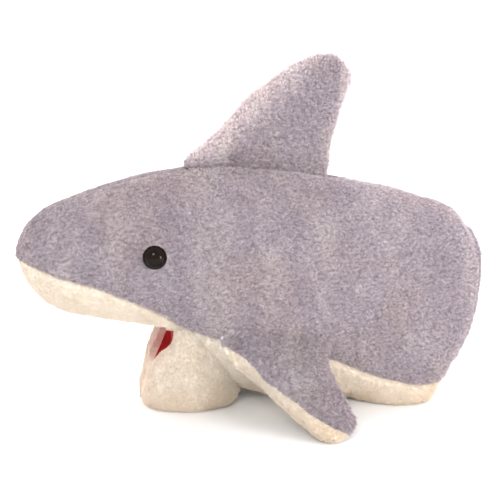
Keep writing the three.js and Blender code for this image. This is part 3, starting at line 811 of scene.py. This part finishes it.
# The cream cloth wraps round a side fin's front edge onto its upper face.
pillow = stuffed_shape("side_fin_form", SIDE_FIN, half_thickness=8.0, inset=1.0, cap=3.5, pressure=2.0)
flat = coordinates(pillow)
grey = (flat[:, 2] > -1.6) & (flat[:, 1] < np.interp(flat[:, 0], FIN_CREAM[:, 0], FIN_CREAM[:, 1]))
fin_faces = [tuple(p.vertices) for p in pillow.data.polygons]
bpy.data.objects.remove(pillow)
for label, side in (("left", 1), ("right", -1)):
    mirror = np.array([1, side, 1])
    front, rear = (np.array(p, float) * mirror for p in SIDE_FIN_ROOT)
    along = (rear - front) / np.linalg.norm(rear - front)
    level = np.array([0, -side, 0.0])
    outward = level - along * level.dot(along)
    outward /= np.linalg.norm(outward)
    turn = np.array(Matrix.Rotation(side * SIDE_FIN_DROOP, 3, Vector(along)))
    outward = turn @ outward
    up = np.cross(along, outward) * (-side)
    thin = 0.45 + 0.55 * smoothstep(flat[:, :1], -12, 10)
    placed = front + flat[:, :1] * along + flat[:, 1:2] * outward + flat[:, 2:] * thin * up
    # Its root flows into the flank.
    proud = np.abs(placed[:, 1]) - flank_width(placed[:, 0], placed[:, 2])
    smooth = (proud + np.sqrt(proud**2 + ROOT_SOFTNESS**2)) / 2
    placed[:, 1] -= side * (smooth - proud) * smoothstep(proud, -13, -9) * (flat[:, 1] < 25)
    placed[:, 1] += side * 4.0 * fin_pocket(placed) * (proud > -6)
    whole = mesh_object("whole_fin", placed, fin_faces)
    if side > 0:
        whole.data.flip_normals()
    roughen(whole, 6.1 + side, lumps=0.7, floor=0.2)
    (top, _), (under, _) = split(whole, grey, f"{label}_fin_top_plush", f"{label}_fin_under_plush")
    nap = tuple(outward * 0.5 + along * 0.25)
    for piece, material, slot_name, nodes, seed in (
        (top, GREY, "grey_plush", (f"{label}_fin_top_panel", f"{label}_fin_stuffing"), 31),
        (under, CREAM, "cream_plush", (f"{label}_fin_under_panel",), 36),
    ):
        piece.data.materials.append(material)
        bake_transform(piece)
        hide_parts(*nodes)
        grow_fur(piece, 2.7 if material is GREY else 2.2, nap, seed + side)

# ---------------------------------------------------------------- lower jaw
rows = np.linspace(0, len(JAW) - 1, 130)
dist, mouth, throat, half = (v[:, None] for v in catmull(JAW, rows).T)
groove_half, groove_depth, crest = (np.interp(dist, GROOVE[:, 0], GROOVE[:, k]) for k in (1, 2, 3))
WALL = 3.6  # the width of each of the groove's side walls
JAW_SQUARENESS = 2.3
# Columns run round the jaw from the middle of its mouth side, close together over the groove's walls.
turn_at = lambda out: np.arcsin(np.clip(out / half, 0, 1) ** (JAW_SQUARENESS / 2))
floor_end, wall_end = turn_at(groove_half), turn_at(groove_half + WALL)
grid = lambda count: np.linspace(0, 1, 2 * count, endpoint=False)[None, :]
one_side = np.concatenate([
    floor_end * grid(7),
    floor_end + (wall_end - floor_end) * grid(5),
    wall_end + (math.pi - wall_end) * grid(60),
], axis=1)
columns = np.concatenate([one_side, 2 * math.pi - one_side[:, :0:-1]], axis=1)
c, s = np.cos(columns), np.sin(columns)
across = half * squarish(s, JAW_SQUARENESS)
front_side = smoothstep(c, 0.0, 0.35)
into = (1 - smoothstep(np.abs(across), groove_half, groove_half + WALL)) * (c > 0)
lips = 3.0 + 3.5 * (across < 0) * (1 - smoothstep(dist, 2, 18))  # the right lip stands out a little more
lips = lips * np.exp(-(((np.abs(across) - crest) / 7) ** 2)) * front_side * (1 - smoothstep(dist, 34, 46))
depth_z = (mouth + throat) / 2 + (mouth - throat) / 2 * squarish(c, JAW_SQUARENESS)
shape = np.stack(np.broadcast_arrays(dist, across, depth_z - groove_depth * into + lips), -1)
jaw = grid_object("lower_jaw_whole", jaw_to_world(shape), wrap=True, cap_start=True, cap_end=True)
face_outward(jaw)
roughen(jaw, 8.8, lumps=0.8, tufts=0.2, floor=REST_HEIGHT)
inside = np.zeros(len(jaw.data.vertices), bool)
inside[:into.size] = ((into > 0.42) & (dist < 19)).ravel()  # red cloth in the groove near the hinge
groove = np.zeros(len(inside))
groove[:into.size] = into.ravel()
(jaw_lining, _), (cream_jaw, order) = split(jaw, inside, "lower_jaw_red_lining", "lower_jaw_cream_plush")
jaw_lining.data.materials.append(RED)
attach(jaw_lining, "lower_jaw")
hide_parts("jaw_lining")
cream_jaw.data.materials.append(CREAM)
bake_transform(cream_jaw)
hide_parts("jaw_skin", "jaw_stuffing")
grow_fur(cream_jaw, 2.0, (0.2, 0, -0.45), 41, shorter=1 - 0.8 * smoothstep(groove[order], 0.0, 0.15))

# ---------------------------------------------------------------- eyes
# A dome's section, radius and height, from the end of its stem to its top.
DOME = np.array([
    (0.0, -6.0), (2.0, -6.0), (5.6, -1.2), (6.9, -0.4), (7.25, 0.4), (7.1, 1.3), (6.6, 2.6), (5.6, 4.0),
    (4.2, 5.2), (2.6, 5.9), (1.2, 6.2), (0.0, 6.25),
]) * (0.95, 1)
for label, side in (("left", 1), ("right", -1)):
    place, out = eye_place(side)
    radii, heights = catmull(DOME, np.linspace(0, len(DOME) - 1, 44)).T
    turn = np.linspace(0, 2 * math.pi, 48, endpoint=False)
    rings = np.stack(np.broadcast_arrays(radii[:, None] * np.cos(turn), radii[:, None] * np.sin(turn),
                                         heights[:, None] + 0 * turn), -1)
    spin = np.array(Vector((0, 0, 1)).rotation_difference(Vector(out)).to_matrix())
    eye = grid_object(f"{label}_eye_dome", place + rings @ spin.T, wrap=True)
    eye.data.materials.append(EYE)
    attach(eye, "torso")
    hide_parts(f"{label}_eye")

# ---------------------------------------------------------------- camera, light, table
camera = bpy.data.objects.new("camera", bpy.data.cameras.new("camera"))
bpy.context.scene.collection.objects.link(camera)
bpy.context.scene.camera = camera
AZIMUTH, ELEVATION, DISTANCE = math.radians(-12), math.radians(12), 0.75
FRAME_WIDTH = 0.3025  # how much of the scene the frame takes in at that distance, in metres
SENSOR = 36
target = Vector((0.0, 0.0, 0.0905))
sideways = math.cos(ELEVATION)
away = Vector((math.sin(AZIMUTH) * sideways, -math.cos(AZIMUTH) * sideways, math.sin(ELEVATION)))
camera.location = target + away * DISTANCE
camera.rotation_euler = (-away).to_track_quat("-Z", "Y").to_euler()
camera.data.sensor_width = SENSOR
camera.data.lens = SENSOR * DISTANCE / FRAME_WIDTH
camera.data.dof.use_dof = False

corners = [(x, y, 0) for x, y in ((-3000, -3000), (3000, -3000), (3000, 3000), (-3000, 3000))]
floor = mesh_object("table", corners, [(0, 1, 2, 3)])
floor.data.materials.append(FLOOR)

world = bpy.data.worlds.new("studio")
bpy.context.scene.world = world
world.use_nodes = True
world.node_tree.nodes["Background"].inputs["Color"].default_value = (1.0, 1.0, 1.0, 1)
world.node_tree.nodes["Background"].inputs["Strength"].default_value = 1.06


def softbox(name, place, aim, size, power):
    light = bpy.data.lights.new(name, "AREA")
    light.shape, light.size, light.energy = "SQUARE", size, power
    lamp = bpy.data.objects.new(name, light)
    bpy.context.scene.collection.objects.link(lamp)
    lamp.location = place
    lamp.rotation_euler = (Vector(aim) - Vector(place)).to_track_quat("-Z", "Y").to_euler()


softbox("key", (-0.45, -0.95, 0.8), (0, 0, 0.08), 0.3, 4.8)
softbox("fill", (0.7, -0.85, 0.22), (0, 0, 0.06), 0.35, 7.5)
softbox("left_rim", (-0.5, 0.8, 0.95), (0, 0, 0.1), 0.5, 5.0)
softbox("right_rim", (1.0, 0.35, 0.6), (0, 0, 0.1), 0.5, 9.5)
softbox("top_rim", (0.1, 0.7, 1.1), (0, 0, 0.1), 0.5, 6.0)
bpy.context.scene.view_settings.view_transform = "Standard"

NODE_MATERIALS = {"upper_mouth_board": FOAM, "left_eye_washer": WASHER, "right_eye_washer": WASHER}
for name, material in NODE_MATERIALS.items():
    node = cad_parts[name]
    node.data.materials.clear()
    node.data.materials.append(material)
